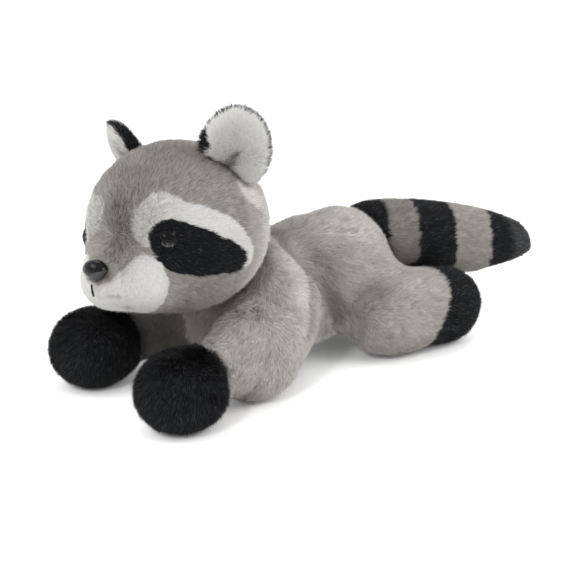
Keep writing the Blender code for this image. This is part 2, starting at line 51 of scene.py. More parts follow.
# The toy's own frame lies this far from the row frame, and the head is turned in it
LAYOUT = Vector((0.0016, -0.0460, 0))
HEAD_CENTRE = LAYOUT + Vector((0, -0.0705, 0.105))
HEAD_TURN = Matrix.Rotation(math.radians(6.5), 3, "Z") @ Matrix.Rotation(math.radians(-12), 3, "Y")

# Lengths are in metres all through. The skins are remeshed with these voxels and smoothed with this weight
# in so many steps, and the fibres stand on the skin moved in by the inset
BODY_VOXEL = 0.0022
EAR_VOXEL = 0.0015
SKIN_WEIGHT = 0.5
SKIN_STEPS = 8
HEAD_STEPS = 10
SKIN_INSET = 0.0018
FLOOR_CLEARANCE = 0.0003
SIDES = ("left", "right")

# A distance beyond all forms, and how far from a form another one still shortens its pile
FAR = 1.0
ROOM_REACH = 0.012

# The body is filled softly within this distance of both a leg and the trunk, and the filling fades out
# over the next stretch. Its folds are smoothed a little once they are pressed in
FILL_WITHIN = 0.004
FILL_FADE = 0.014
FILL_WEIGHT = 0.6
FILL_STEPS = 60
FOLD_WEIGHT = 0.4
FOLD_STEPS = 2

# The head's surface is read along rays that start this far from its middle, on a cube with this number of
# cuts along each edge. A ray that finds nothing gives a place at the last distance
HEAD_CUTS = 53
RAY_START = 0.2
RAY_MISSED = 0.05


def both(*parts):
    return [f"{part}_{side}" for part in parts for side in SIDES]


GROUPS = {
    "body": ["torso", "belly_panel"] + both("arm", "front_paw", "hind_leg", "hind_foot"),
    "head": ["head"] + both("brow_panel", "mask_panel", "muzzle_panel"),
    "tail": [f"tail_band_{number}" for number in range(1, 6)],
    "ear_left": ["ear_back_left", "ear_lining_left"],
    "ear_right": ["ear_back_right", "ear_lining_right"],
}


# Reading the solids and making skins over them


def arrays_of(mesh):
    """The corners and the triangles of a mesh."""
    points = np.empty(len(mesh.vertices) * 3)
    mesh.vertices.foreach_get("co", points)
    mesh.calc_loop_triangles()
    triangles = np.empty(len(mesh.loop_triangles) * 3, dtype=np.int64)
    mesh.loop_triangles.foreach_get("vertices", triangles)
    return points.reshape(-1, 3), triangles.reshape(-1, 3)


def joined(names):
    """All triangles of several nodes, with the place in the list of the node that each one belongs to."""
    points, triangles, labels, start = [], [], [], 0
    for label, name in enumerate(names):
        corner, triangle = arrays_of(nodes[name].data)
        points.append(corner)
        triangles.append(triangle + start)
        labels.append(np.full(len(triangle), label))
        start += len(corner)
    return np.concatenate(points), np.concatenate(triangles), np.concatenate(labels)


def tree_of(points, faces):
    return BVHTree.FromPolygons(points.tolist(), faces.tolist())


def distance_to(tree, points):
    """How far each point is from the surface in a tree."""
    return np.array([tree.find_nearest(Vector(point))[3] for point in points])


def unit(vectors):
    return vectors / np.maximum(np.linalg.norm(vectors, axis=1, keepdims=True), 1e-9)


def summed(index, values, size):
    """The sum of the values, rows of three, that share an index."""
    return np.stack([np.bincount(index, values[:, axis], size) for axis in range(3)], axis=1)


def normals_of(points, triangles):
    a, b, c = (points[triangles[:, k]] for k in range(3))
    across = np.cross(b - a, c - a)
    return unit(sum(summed(triangles[:, k], across, len(points)) for k in range(3)))


def relaxed(points, triangles, weight, steps):
    """The points after steps towards the middle of their neighbours, each as far as its weight says."""
    edges = np.concatenate([triangles[:, [0, 1]], triangles[:, [1, 2]], triangles[:, [2, 0]]])
    edges = np.unique(np.sort(edges, axis=1), axis=0)
    ends = np.concatenate([edges, edges[:, ::-1]])
    number = np.maximum(np.bincount(ends[:, 0], minlength=len(points)), 1)[:, None]
    for _ in range(steps):
        middle = summed(ends[:, 0], points[ends[:, 1]], len(points)) / number
        points = points + weight[:, None] * (middle - points)
    return points


def one_skin(names, voxel):
    """One smooth closed skin round several solids that lie against each other."""
    points, triangles, _ = joined(names)
    mesh = bpy.data.meshes.new("soup")
    mesh.from_pydata(points.tolist(), [], triangles.tolist())
    holder = bpy.data.objects.new("holder", mesh)
    bpy.context.scene.collection.objects.link(holder)
    step = holder.modifiers.new("skin", "REMESH")
    step.mode = "VOXEL"
    step.voxel_size = voxel
    graph = bpy.context.evaluated_depsgraph_get()
    skin = bpy.data.meshes.new_from_object(holder.evaluated_get(graph))
    bpy.data.objects.remove(holder)
    points, triangles = arrays_of(skin)
    return relaxed(points, triangles, np.full(len(points), SKIN_WEIGHT), SKIN_STEPS), triangles


def to_head(points):
    """Places in the head's own frame: aside to its left, behind its middle and above its middle."""
    return (points - np.array(HEAD_CENTRE)) @ np.array(HEAD_TURN)


def from_head(points):
    return points @ np.array(HEAD_TURN).T + np.array(HEAD_CENTRE)


def bump(values, middle, reach):
    """1 at the middle value, and fading out to both sides."""
    return np.exp(-(((values - middle) / reach) ** 2))


def rise(values, start, end):
    """0 at the start value, 1 at the end value, and straight between them."""
    return np.clip((values - start) / (end - start), 0, 1)


# Lines on the left side of the face: the edge of the cheek and the crease beside the mouth
CHEEK_EDGE = (
    (0.0243, -0.1746, 0.0982), (0.0258, -0.1687, 0.1044), (0.0317, -0.1635, 0.1070),
    (0.0391, -0.1577, 0.1050), (0.0438, -0.1558, 0.0981), (0.0450, -0.1556, 0.0895),
    (0.0443, -0.1595, 0.0813),
)
MOUTH_CREASE = ((0.0187, -0.1835, 0.0821), (0.0235, -0.1801, 0.0821), (0.0268, -0.1783, 0.0827))

# Grooves on the face, and folds that run over the body: the points of each line on the left side, its
# depth and its half width
GROOVES = ((CHEEK_EDGE, 0.0012, 0.0022), (MOUTH_CREASE, 0.0007, 0.0012))
FOLDS = (
    (((0.004, -0.047, 0.087), (0.023, -0.052, 0.083), (0.033, -0.049, 0.077), (0.036, -0.042, 0.069),
      (0.036, -0.033, 0.058), (0.035, -0.028, 0.050), (0.034, -0.024, 0.042), (0.030, -0.019, 0.032)),
     0.0035, 0.0045),
    (((0.034, -0.049, 0.076), (0.043, -0.049, 0.069), (0.050, -0.053, 0.062), (0.054, -0.056, 0.050),
      (0.055, -0.060, 0.038)), 0.0014, 0.0032),
    (((0.026, -0.008, 0.028), (0.034, -0.006, 0.040), (0.038, -0.001, 0.050), (0.037, 0.008, 0.057)),
     0.0030, 0.0070),
)


def line_distance(points, line):
    """How far each point is from a line through several places."""
    nearest = np.full(len(points), FAR)
    for start, end in zip(line[:-1], line[1:]):
        start, end = np.array(start), np.array(end)
        along = end - start
        share = np.clip((points - start) @ along / (along @ along), 0, 1)
        nearest = np.minimum(nearest, np.linalg.norm(points - start - share[:, None] * along, axis=1))
    return nearest


def pressed(points, triangles, line, depth, width):
    """The points with a groove pressed in along a line."""
    press = depth * bump(line_distance(points, line), 0, width)
    return points - normals_of(points, triangles) * press[:, None]


def body_skin():
    """The body in one skin, filled softly where the legs meet it, with its folds pressed in."""
    points, triangles = one_skin(GROUPS["body"], BODY_VOXEL)
    trunk = tree_of(*joined(["torso", "belly_panel"])[:2])
    legs = tree_of(*joined(both("arm", "hind_leg"))[:2])
    apart = np.maximum(distance_to(trunk, points), distance_to(legs, points))
    crease = np.clip(1 - (apart - FILL_WITHIN) / FILL_FADE, 0, 1)
    points = relaxed(points, triangles, crease * FILL_WEIGHT, FILL_STEPS)
    for line, depth, width in FOLDS:
        mirrored = tuple((2 * LAYOUT.x - x, y, z) for x, y, z in line)
        for course in (line, mirrored):
            points = pressed(points, triangles, course, depth, width)
    points = relaxed(points, triangles, np.full(len(points), FOLD_WEIGHT), FOLD_STEPS)
    points[:, 2] = np.maximum(points[:, 2], FLOOR_CLEARANCE)
    return points, triangles


def head_skin():
    """The head's outer surface read along rays to its centre, which bridges the sockets of the eyes."""
    points, triangles, _ = joined(GROUPS["head"] + ["eye_left", "eye_right"])
    tree = tree_of(points, triangles)
    mesh = bpy.data.meshes.new("ball")
    shape = bmesh.new()
    bmesh.ops.create_cube(shape, size=1)
    bmesh.ops.subdivide_edges(shape, edges=shape.edges, cuts=HEAD_CUTS, use_grid_fill=True)
    for vertex in shape.verts:
        ray = Vector([math.tan(axis * math.pi / 2) for axis in vertex.co]).normalized()
        hit, _, _, _ = tree.ray_cast(HEAD_CENTRE + ray * RAY_START, -ray)
        vertex.co = hit if hit else HEAD_CENTRE + ray * RAY_MISSED
    shape.to_mesh(mesh)
    shape.free()
    points, triangles = arrays_of(mesh)
    points = relaxed(points, triangles, np.full(len(points), SKIN_WEIGHT), HEAD_STEPS)
    for line, depth, width in GROOVES:
        mirrored = from_head(to_head(np.array(line)) * np.array([-1, 1, 1]))
        for course in (line, mirrored):
            points = pressed(points, triangles, course, depth, width)
    return points, triangles


# Smooth random fields


# Random values on a lattice that repeats, where the toy lies in it, and the share by which streaks are
# drawn out along the pile
LATTICE_SIZE = 16
LATTICE = random.normal(size=(LATTICE_SIZE, LATTICE_SIZE, LATTICE_SIZE, 4))
LATTICE_SHIFT = 57.3
DRAWN_OUT = 0.72


def field(points, cell, channel=None):
    """Smooth random values of about unit size that change over one cell."""
    place = points / cell + LATTICE_SHIFT
    low = np.floor(place).astype(np.int64)
    part = place - low
    part = part * part * (3 - 2 * part)
    total = 0
    for corner in np.ndindex(2, 2, 2):
        weight = np.prod(np.where(np.array(corner) == 1, part, 1 - part), axis=1)
        index = (low + np.array(corner)) % LATTICE_SIZE
        total = total + weight[:, None] * LATTICE[index[:, 0], index[:, 1], index[:, 2]]
    return total if channel is None else total[:, channel]


def streaks(points, way, cell, channel):
    """A random field drawn out along the way that the pile lies."""
    along = (points * way).sum(axis=1, keepdims=True)
    return field(points - way * along * DRAWN_OUT, cell, channel)


# Which way the pile of each piece lies


NOSE = np.array(HEAD_CENTRE + HEAD_TURN @ Vector((0, -0.066, -0.009)))
EAR_FOOT = {
    "ear_left": np.array((0.036, -0.107, 0.146)),
    "ear_right": np.array((-0.040, -0.112, 0.136)),
}

# The middle of a front paw's top: how far aside, its place from front to back, and its height
PAW_TOP = (0.044, -0.125, 0.066)


def eye_place(side):
    """The foremost point of an eye."""
    points = arrays_of(nodes[f"eye_{side}"].data)[0]
    return points[np.argmax(np.linalg.norm(points - np.array(HEAD_CENTRE), axis=1))]


EYES = [eye_place(side) for side in SIDES]


def from_nose(points, group):
    """Over the head away from the nose, and down at the back of the head."""
    behind = rise(to_head(points)[:, 1], 0.0, 0.04)[:, None]
    return (points - NOSE + np.array([0, 0, -0.02])) * (1 - behind) + np.array([0, 0.02, -0.05]) * behind


def over_body(points, group):
    """Towards the front paws before the chest, down over the flanks, and back over the hips and legs."""
    front = rise(points[:, 1], -0.072, -0.100)[:, None]
    rear = rise(points[:, 1], -0.050, 0.010)[:, None]
    flank = (1 - front) * (1 - rear)
    forward, back, down = np.array([0, -0.9, -0.7]), np.array([0, 1, -0.30]), np.array([0, 0.5, -1])
    return front * forward + rear * back + flank * down


def over_paw(points, group):
    """Down and forward from the top of a front paw."""
    side = np.sign(points[:, 0] - LAYOUT.x)
    top = np.tile(PAW_TOP, (len(points), 1))
    top[:, 0] = LAYOUT.x + side * top[:, 0]
    return points - top


def to_tip(points, group):
    """Back along the hind feet and the tail."""
    return np.tile(np.array([0, 1, -0.25]), (len(points), 1))


def from_ear_foot(points, group):
    return points - EAR_FOOT[group]


# How the pile of each piece looks


Style = namedtuple("Style", "family length width lean shade density flow")

# The lean is in degrees from upright, the shade goes from 0 for dark to 1 for pale, and the density is in
# fibres per square millimetre
STYLES = {
    "head": Style("grey", 0.0040, 0.00042, 60, 0.35, 5.9, from_nose),
    "brow_panel": Style("pale", 0.0034, 0.00038, 62, 0.34, 9.0, from_nose),
    "mask_panel": Style("black", 0.0032, 0.00040, 62, 0.30, 7.5, from_nose),
    "muzzle_panel": Style("pale", 0.0022, 0.00036, 62, 0.68, 11.0, from_nose),
    "ear_back": Style("black", 0.0054, 0.00042, 42, 0.42, 7.0, from_ear_foot),
    "ear_lining": Style("pale", 0.0044, 0.00038, 56, 0.76, 8.5, from_ear_foot),
    "torso": Style("grey", 0.0044, 0.00044, 60, 0.60, 5.9, over_body),
    "belly_panel": Style("pale", 0.0040, 0.00048, 58, 0.30, 4.0, over_body),
    "arm": Style("grey", 0.0042, 0.00044, 62, 0.74, 6.0, over_body),
    "front_paw": Style("black", 0.0044, 0.00044, 50, 0.46, 6.0, over_paw),
    "hind_leg": Style("grey", 0.0040, 0.00044, 60, 0.58, 6.0, over_body),
    "hind_foot": Style("black", 0.0038, 0.00044, 58, 0.42, 6.0, to_tip),
    "dark_band": Style("black", 0.0042, 0.00044, 57, 0.34, 6.0, to_tip),
    "grey_band": Style("grey", 0.0042, 0.00044, 57, 0.36, 6.0, to_tip),
}

# How much the shade varies: from fibre to fibre, and in streaks, each with a weight, a cell and a channel
SPECKLE = {"grey": 0.10, "pale": 0.08, "black": 0.26}
STREAKS = ((0.11, 0.0014, 0), (0.05, 0.0045, 1))

# How far the edge between two colours wanders, and the cells in which it and an ear's rim do
RAGGED_CELL = 0.0035
RIM_CELL = 0.0022
RAGGED = {"tail": 0.0009, "head": 0.0002, "body": 0.0005}

# The way that the front of each ear looks
EAR_AHEAD = {
    "ear_left": np.array(HEAD_TURN @ Vector((0.447, -0.848, -0.286))),
    "ear_right": np.array(HEAD_TURN @ Vector((-0.447, -0.848, -0.286))),
}

# How much of each ear's rim is black, how ragged its edge is, and the black tuft at its foot: its place,
# its radius, how much that wanders and in which cell
EAR_TURNED = {"ear_left": 0.14, "ear_right": 0.58}
EAR_RAGGED = {"ear_left": 0.28, "ear_right": 0.14}
EAR_TUFT = {
    "ear_left": np.array((0.0262, -0.1150, 0.1590)),
    "ear_right": np.array((-0.0360, -0.1200, 0.1500)),
}
TUFT_RADIUS = 0.006
TUFT_RAGGED = 0.0018
TUFT_CELL = 0.0018

# Lines on the left ear: the crease at its foot, its hollow, and the pale lobe that runs down the head
EAR_CREASE = ((0.0370, -0.1065, 0.1470), (0.0414, -0.1044, 0.1544))
EAR_HOLLOW = ((0.0380, -0.1065, 0.1500), (0.0410, -0.1055, 0.1600), (0.0420, -0.1060, 0.1680))
EAR_LOBE = ((0.0450, -0.0990, 0.1370), (0.0455, -0.0965, 0.1320), (0.0450, -0.0930, 0.1290))

# The lobe's reach on the ear, the distances at which its shade starts and is full on the head, and its shade
LOBE_ON_EAR = 0.010
LOBE_ON_HEAD = (0.0075, 0.0060)
LOBE_SHADE = 0.97

# The lower edge of the grey bridge, in the head's own frame: places aside, and its height at each
BRIDGE_EDGE = ((0.0090, 0.0142, 0.0176, 0.0250, 0.0300), (-0.0150, -0.0099, -0.0044, -0.0015, 0.0100))

# The right brow covers this rounded box too, in the head's own frame: its middle aside and above, and half
# its width and height
BROW_MIDDLE = (-0.017, 0.0165)
BROW_REACH = (0.012, 0.0105)

# The tail starts here and falls towards its tip. The heights are those of its top and its middle line at
# the start
TAIL_START = 0.008
TAIL_FALL = math.tan(math.radians(14))
TAIL_TOP = 0.0965
TAIL_MIDDLE = 0.0725
TAIL_HALF_WIDTH = 0.026

# The tail's tip is lifted from below, between these places along it
TIP_PLACES = (0.125, 0.175)
TIP_LIFT = 0.008
TIP_DEPTH = 0.018

# Where the edges of the tail's bands lie on top of the tail, how far they lead towards the rump beside it,
# and two numbers that round their turn on top
BAND_EDGES = (0.0450, 0.0700, 0.1030, 0.1380)
BAND_LEADS = (0.0180, 0.0175, 0.0150, 0.0155)
BAND_TURN = (0.05, 0.18)

# How far they lead under the tail as well, from none to all at these depths below its top and these places
UNDER_LEAD = 0.018
UNDER_DEPTHS = (0.033, 0.040)
UNDER_PLACES = (0.085, 0.070)

# How far back along the toy the label of a place on a foot is looked up, and where that comes in: on the
# front paws, and on the hind feet at three heights. Less than 0 brings the black of a front paw back
PAW_CUFF = -0.006
PAW_PLACES = (-0.08, -0.10)
FOOT_CUFF = ((0.010, 0.045, 0.070), (0.018, 0, -0.009))
FOOT_PLACES = (0.02, 0.04)

# Lines on the left side of the body along which the pile is painted darker or paler: the change and its
# reach. In turn they are painted shade in two shoulder folds and in the hollow between hip and thigh,
# painted light on the chest roll and on a ridge of the arm, painted shade down the flank, and painted light
# along the hip
TONES = (
    (FOLDS[0][0], -0.30, 0.0045),
    (FOLDS[1][0], -0.16, 0.0030),
    (((0.0352, -0.0084, 0.0381), (0.0356, -0.0024, 0.0443), (0.0433, 0.0034, 0.0477)), -0.34, 0.0080),
    (((0.0300, -0.0620, 0.0800), (0.0400, -0.0600, 0.0730), (0.0500, -0.0640, 0.0640)), 0.34, 0.0080),
    (((0.0512, -0.0629, 0.0655), (0.0550, -0.0625, 0.0568), (0.0567, -0.0645, 0.0456)), 0.18, 0.0050),
    (((0.0147, -0.0349, 0.0838), (0.0262, -0.0293, 0.0756), (0.0319, -0.0264, 0.0665),
      (0.0354, -0.0231, 0.0517), (0.0343, -0.0171, 0.0373)), -0.18, 0.0075),
    (((0.0093, 0.0043, 0.0892), (0.0196, 0.0097, 0.0856), (0.0326, 0.0111, 0.0735),
      (0.0371, 0.0137, 0.0614), (0.0397, 0.0131, 0.0521)), 0.06, 0.0080),
)
TONED = ["torso"] + both("arm", "hind_leg")

# The same for lines that lie on single pieces: painted shade in the crease beside the mouth, and in the
# crease and the hollow of the left ear
PAINTED_CREASE_SHADE = {
    "muzzle_panel_left": ((MOUTH_CREASE, -0.7, 0.0012),),
    "muzzle_panel_right": ((MOUTH_CREASE, -0.7, 0.0012),),
    "ear_lining_left": ((EAR_CREASE, -0.50, 0.0020), (EAR_HOLLOW, -0.16, 0.007)),
}

# The darker lining at an ear's foot, painted shade where the ear meets the head: the change, and the
# distances from the foot where it starts and is full
PAINTED_FOOT_SHADE = -0.25
FOOT_RAMP = (0.016, 0.004)

# Changes of shade that come in along ramps, each with a direction and the places where it is 0 and 1. Aside,
# behind and above are in the head's own frame, and outward is from the body's middle. Many of them are
# painted light and shade, as said at each
TONE_RAMPS_AND_PAINTED_LIGHT = {
    "head": (
        # painted rim light: the back of the head paler
        (0.46, (("behind", 0.002, 0.024),)),
        # painted shade: the top of the head darker
        (-0.12, (("above", 0.026, 0.040),)),
        (0.12, (("above", 0.004, -0.006), ("behind", -0.040, -0.052))),
    ),
    "brow_panel_left": ((0.27, (("aside", 0.026, 0.044),)),),
    "brow_panel_right": ((-0.16, (("aside", -0.030, -0.018),)),),
    # painted shade: the underside of the muzzle darker, on both panels
    "muzzle_panel_left": ((-0.22, (("above", -0.024, -0.036),)),),
    "muzzle_panel_right": ((-0.22, (("above", -0.024, -0.036),)),),
    "torso": (
        # painted shade on the flank behind the shoulder fold
        (-0.17, (("y", 0.000, -0.020), ("y", -0.048, -0.036), ("outward", 0.012, 0.026))),
        # painted light: the top of the back paler
        (0.08, (("z", 0.074, 0.084),)),
    ),
    # painted shadow of the head on the inner side of the right arm
    "arm_right": ((-0.74, (("y", -0.076, -0.100), ("x", -0.045, -0.030))),),
    # painted shade: the second band darker, most of all on its underside near the rump
    "tail_band_2": ((-0.24, ()), (-0.34, (("z", 0.072, 0.052),))),
    # painted sheen: the black tip of the tail paler
    "tail_band_5": ((0.60, (("y", 0.146, 0.156),)),),
    "ear_lining_left": ((-0.16, (("x", 0.038, 0.030),)),),
    # painted shade over the whole lining of the right ear
    "ear_lining_right": ((-0.30, ()),),
}

# The darker stripe down the head's front: the change, its middle and reach aside, and its ramps
STRIPE_CHANGE = -0.20
STRIPE_ASIDE = (0.006, 0.012)
STRIPE_RAMPS = (("behind", -0.015, -0.040), ("above", -0.002, 0.012), ("above", 0.042, 0.024))

# No shade lies beyond these: of a place, of a face and of a fibre
SHADE_LIMITS = (0.02, 0.98)
FACE_LIMITS = (0.01, 0.98)
FIBRE_LIMITS = (0.01, 0.985)


def style_of(name):
    if name.startswith("tail_band"):
        return STYLES["dark_band" if int(name[-1]) % 2 else "grey_band"]
    for ending in ("_left", "_right"):
        name = name.removesuffix(ending)
    return STYLES[name]


def ramped(value, places, ramps):
    """A value that is brought in along ramps."""
    for direction, none, full in ramps:
        value = value * rise(places[direction], none, full)
    return value


def shade_of(name, points, way, base):
    """Where a pile is darker or lighter than its mean, from 0 to 1: random streaks and markings, and painted
    shade and light in folds, creases, hollows and on sides that light falls on or misses.
    """
    shade = base
    for weight, cell, channel in STREAKS:
        shade = shade + weight * streaks(points, way, cell, channel)
    x, y, z = points.T
    aside, behind, above = to_head(points).T
    outward = np.abs(x - LAYOUT.x)
    places = {"x": x, "y": y, "z": z, "outward": outward, "aside": aside, "behind": behind, "above": above}
    if name == "head":
        shade = shade + STRIPE_CHANGE * ramped(bump(aside, *STRIPE_ASIDE), places, STRIPE_RAMPS)
    if name in TONED:
        mirrored = np.stack([LAYOUT.x + outward, y, z], axis=1)
        for line, change, reach in TONES:
            shade = shade + change * bump(line_distance(mirrored, line), 0, reach)
    if name.startswith("ear_lining"):
        from_foot = np.linalg.norm(points - EAR_FOOT[name.replace("lining_", "")], axis=1)
        shade = shade + PAINTED_FOOT_SHADE * rise(from_foot, *FOOT_RAMP)
    for line, change, reach in PAINTED_CREASE_SHADE.get(name, ()):
        shade = shade + change * bump(line_distance(points, line), 0, reach)
    for change, ramps in TONE_RAMPS_AND_PAINTED_LIGHT.get(name, ()):
        shade = shade + ramped(change, places, ramps)
    if name == "head":
        lobe = rise(line_distance(points, EAR_LOBE), *LOBE_ON_HEAD)
        shade = shade * (1 - lobe) + LOBE_SHADE * lobe
    return np.clip(shade, *SHADE_LIMITS)


# Materials


def shader_of(name):
    material = bpy.data.materials.new(name)
    material.use_nodes = True
    tree = material.node_tree
    return material, tree, tree.nodes["Principled BSDF"]


def node(tree, kind, **settings):
    made = tree.nodes.new(kind)
    for key, value in settings.items():
        setattr(made, key, value)
    return made


def ramp_node(tree, stops):
    made = tree.nodes.new("ShaderNodeValToRGB")
    elements = made.color_ramp.elements
    while len(elements) > 1:
        elements.remove(elements[-1])
    for index, (place, colour) in enumerate(stops):
        element = elements[0] if index == 0 else elements.new(place)
        element.position = place
        element.color = (*colour, 1)
    return made


def plush(name, shades, along, sheen):
    """Plush whose colour is read from the palette map: shade across, root to tip upward, with the root end
    darkened as painted shade deep in the pile.
    """
    material, tree, shader = shader_of(name)
    uv = node(tree, "ShaderNodeUVMap", uv_map="OFBake")
    split = node(tree, "ShaderNodeSeparateXYZ")
    tree.links.new(uv.outputs["UV"], split.inputs["Vector"])
    shade = ramp_node(tree, shades)
    tree.links.new(split.outputs["X"], shade.inputs["Fac"])
    rising = ramp_node(tree, along)
    tree.links.new(split.outputs["Y"], rising.inputs["Fac"])
    mix = node(tree, "ShaderNodeMix", data_type="RGBA", blend_type="MULTIPLY")
    mix.inputs["Factor"].default_value = 1
    tree.links.new(shade.outputs["Color"], mix.inputs[6])
    tree.links.new(rising.outputs["Color"], mix.inputs[7])
    tree.links.new(mix.outputs[2], shader.inputs["Base Color"])
    shader.inputs["Roughness"].default_value = 0.85
    shader.inputs["Specular IOR Level"].default_value = 0.15
    shader.inputs["Sheen Weight"].default_value = sheen
    shader.inputs["Sheen Roughness"].default_value = 0.5
    return material


# Each palette's shades from dark to pale, how much darker its fibres are painted towards the root, as
# painted shade deep in the pile, and its sheen
PLUSH = {
    "grey": plush(
        "grey_plush",
        ((0.0, (0.20, 0.185, 0.17)), (0.5, (0.48, 0.45, 0.415)), (0.9, (0.75, 0.72, 0.68)),
         (1.0, (0.88, 0.86, 0.83))),
        ((0.0, (0.62, 0.61, 0.60)), (0.5, (0.92, 0.92, 0.92)), (1.0, (1, 1, 1))),
        0.2,
    ),
    "pale": plush(
        "pale_plush",
        ((0.0, (0.24, 0.23, 0.22)), (0.25, (0.63, 0.615, 0.595)), (0.5, (0.82, 0.81, 0.785)),
         (1.0, (0.93, 0.925, 0.91))),
        ((0.0, (0.75, 0.74, 0.73)), (0.5, (0.96, 0.96, 0.96)), (1.0, (1, 1, 1))),
        0.1,
    ),
    "black": plush(
        "black_plush",
        ((0.0, (0.004, 0.0045, 0.005)), (0.5, (0.012, 0.013, 0.015)), (0.8, (0.035, 0.036, 0.040)),
         (1.0, (0.10, 0.102, 0.108))),
        ((0.0, (0.6, 0.6, 0.6)), (0.5, (0.95, 0.95, 0.95)), (1.0, (1, 1, 1))),
        0.03,
    ),
}


# Skins of all forms


def tail_height(points, at_start):
    """The height at each place of a line that falls with the tail."""
    return at_start - (points[:, 1] - TAIL_START) * TAIL_FALL


skins = {}
for group, names in GROUPS.items():
    if group == "head":
        points, triangles = head_skin()
    elif group == "body":
        points, triangles = body_skin()
    else:
        points, triangles = one_skin(names, BODY_VOXEL if group == "tail" else EAR_VOXEL)
    if group == "tail":
        low = np.clip((tail_height(points, TAIL_MIDDLE) - points[:, 2]) / TIP_DEPTH, 0, 1)
        points[:, 2] += TIP_LIFT * low * rise(points[:, 1], *TIP_PLACES)
    skins[group] = {
        "points": points, "triangles": triangles,
        "normals": normals_of(points, triangles), "tree": tree_of(points, triangles),
    }


def room_beside(group):
    """Signed distance from a form's corners to the nearest other form, negative inside it."""
    points = skins[group]["points"]
    nearest = np.full(len(points), FAR)
    for other, skin in skins.items():
        if other == group:
            continue
        low, high = skin["points"].min(0) - ROOM_REACH, skin["points"].max(0) + ROOM_REACH
        for index in np.nonzero(np.all((points > low) & (points < high), axis=1))[0]:
            place, normal, _, distance = skin["tree"].find_nearest(Vector(points[index]))
            side = 1 if (Vector(points[index]) - place).dot(normal) >= 0 else -1
            nearest[index] = min(nearest[index], side * distance)
    return nearest


def band_of(points):
    """The number of the tail's band at each place: the edges lead forward beside and under the tail."""
    aside = np.sqrt(((points[:, 0] - LAYOUT.x) / TAIL_HALF_WIDTH) ** 2 + BAND_TURN[0]) - BAND_TURN[1]
    below_top = tail_height(points, TAIL_TOP) - points[:, 2]
    under = rise(below_top, *UNDER_DEPTHS) * rise(points[:, 1], *UNDER_PLACES)
    band = np.zeros(len(points), dtype=np.int64)
    for edge, lead in zip(BAND_EDGES, BAND_LEADS):
        band += points[:, 1] > edge - lead * aside - UNDER_LEAD * under
    return band


def cuff_shift(points):
    """How far along the toy to look for the label, so that the black reaches past the seams of the feet."""
    before = rise(points[:, 1], *PAW_PLACES) * PAW_CUFF
    behind = rise(points[:, 1], *FOOT_PLACES) * np.interp(points[:, 2], *FOOT_CUFF)
    return before + behind


def labels_at(tree, labels, points, normals, group):
    """Which piece lies nearest, with an edge that wanders a little."""
    if group.startswith("ear"):
        facing = normals @ EAR_AHEAD[group] + EAR_RAGGED[group] * field(points, RIM_CELL, 0)
        edge = TUFT_RADIUS + TUFT_RAGGED * field(points, TUFT_CELL, 1)
        tuft = np.linalg.norm(points - EAR_TUFT[group], axis=1) < edge
        lobe = line_distance(points, EAR_LOBE) < LOBE_ON_EAR
        return (((facing > EAR_TURNED[group]) & ~tuft) | lobe).astype(np.int64)
    probes = points + field(points, RAGGED_CELL)[:, :3] * RAGGED[group]
    if group == "tail":
        return band_of(probes)
    if group == "body":
        probes[:, 1] += cuff_shift(points)
    found = np.array([labels[tree.find_nearest(Vector(probe))[2]] for probe in probes], dtype=np.int64)
    if group == "head":
        aside, behind, above = to_head(probes).T
        across = np.abs((aside - BROW_MIDDLE[0]) / BROW_REACH[0])
        upward = np.abs((above - BROW_MIDDLE[1]) / BROW_REACH[1])
        brow = (across ** 3 + upward ** 3 < 1) & (behind < 0) & (found == 0)
        found[brow] = GROUPS["head"].index("brow_panel_right")
        muzzle = np.isin(found, [GROUPS["head"].index(panel) for panel in both("muzzle_panel")])
        found[muzzle & (above > np.interp(np.abs(aside), *BRIDGE_EDGE))] = 0
    return found


# Fibres

# Faces, sown fibres and roots that lie deeper than this inside another form are left out
FACE_DEPTH = 0.004
SOWN_DEPTH = 0.0015
ROOT_DEPTH = 0.001

# How fibres stray from the flow: the cells and weights of the swirls, and the weight of chance
SWIRLS = ((0.0045, 0.25), (0.014, 0.22))
STRAY = 0.20

# Degrees by which the lean changes from tuft to tuft, with the size of a tuft, and from fibre to fibre, and
# its limits
LEAN_TUFTS = 9
LEAN_CELL = 0.0022
LEAN_CHANCE = 8
LEAN_LIMITS = (15, 82)

# In a ring round each eye the fibres turn in over its rim, with a share of their own lay and this lean
EYE_RING = (0.0040, 0.0072)
EYE_LAY = 0.3
EYE_LEAN = 42

# How far a blade is twisted by chance
TWIST = 0.3

# How the length changes by chance, and with the room beside another form: the share that is left where
# they touch, the rest that comes back over the next stretch, and the least share
LENGTH_CHANCE = 0.15
LENGTH_LIMITS = (0.5, 1.5)
ROOM_SHARES = (0.45, 0.55)
ROOM_FADE = 0.004
ROOM_LEAST = 0.4

# How far a blade's shading normal leans to its face, at the root and at the tip
ROOT_GLOW = 0.35
TIP_GLOW = 0.6

# Where the three corners of a face or of a blade lie on the palette map: across, beside the shade, and up
CORNERS_ACROSS = np.array([0, 0.006, 0.003])
SKIN_UP = np.array([0.10, 0.10, 0.14])
BLADE_UP = np.array([0.06, 0.06, 0.97])


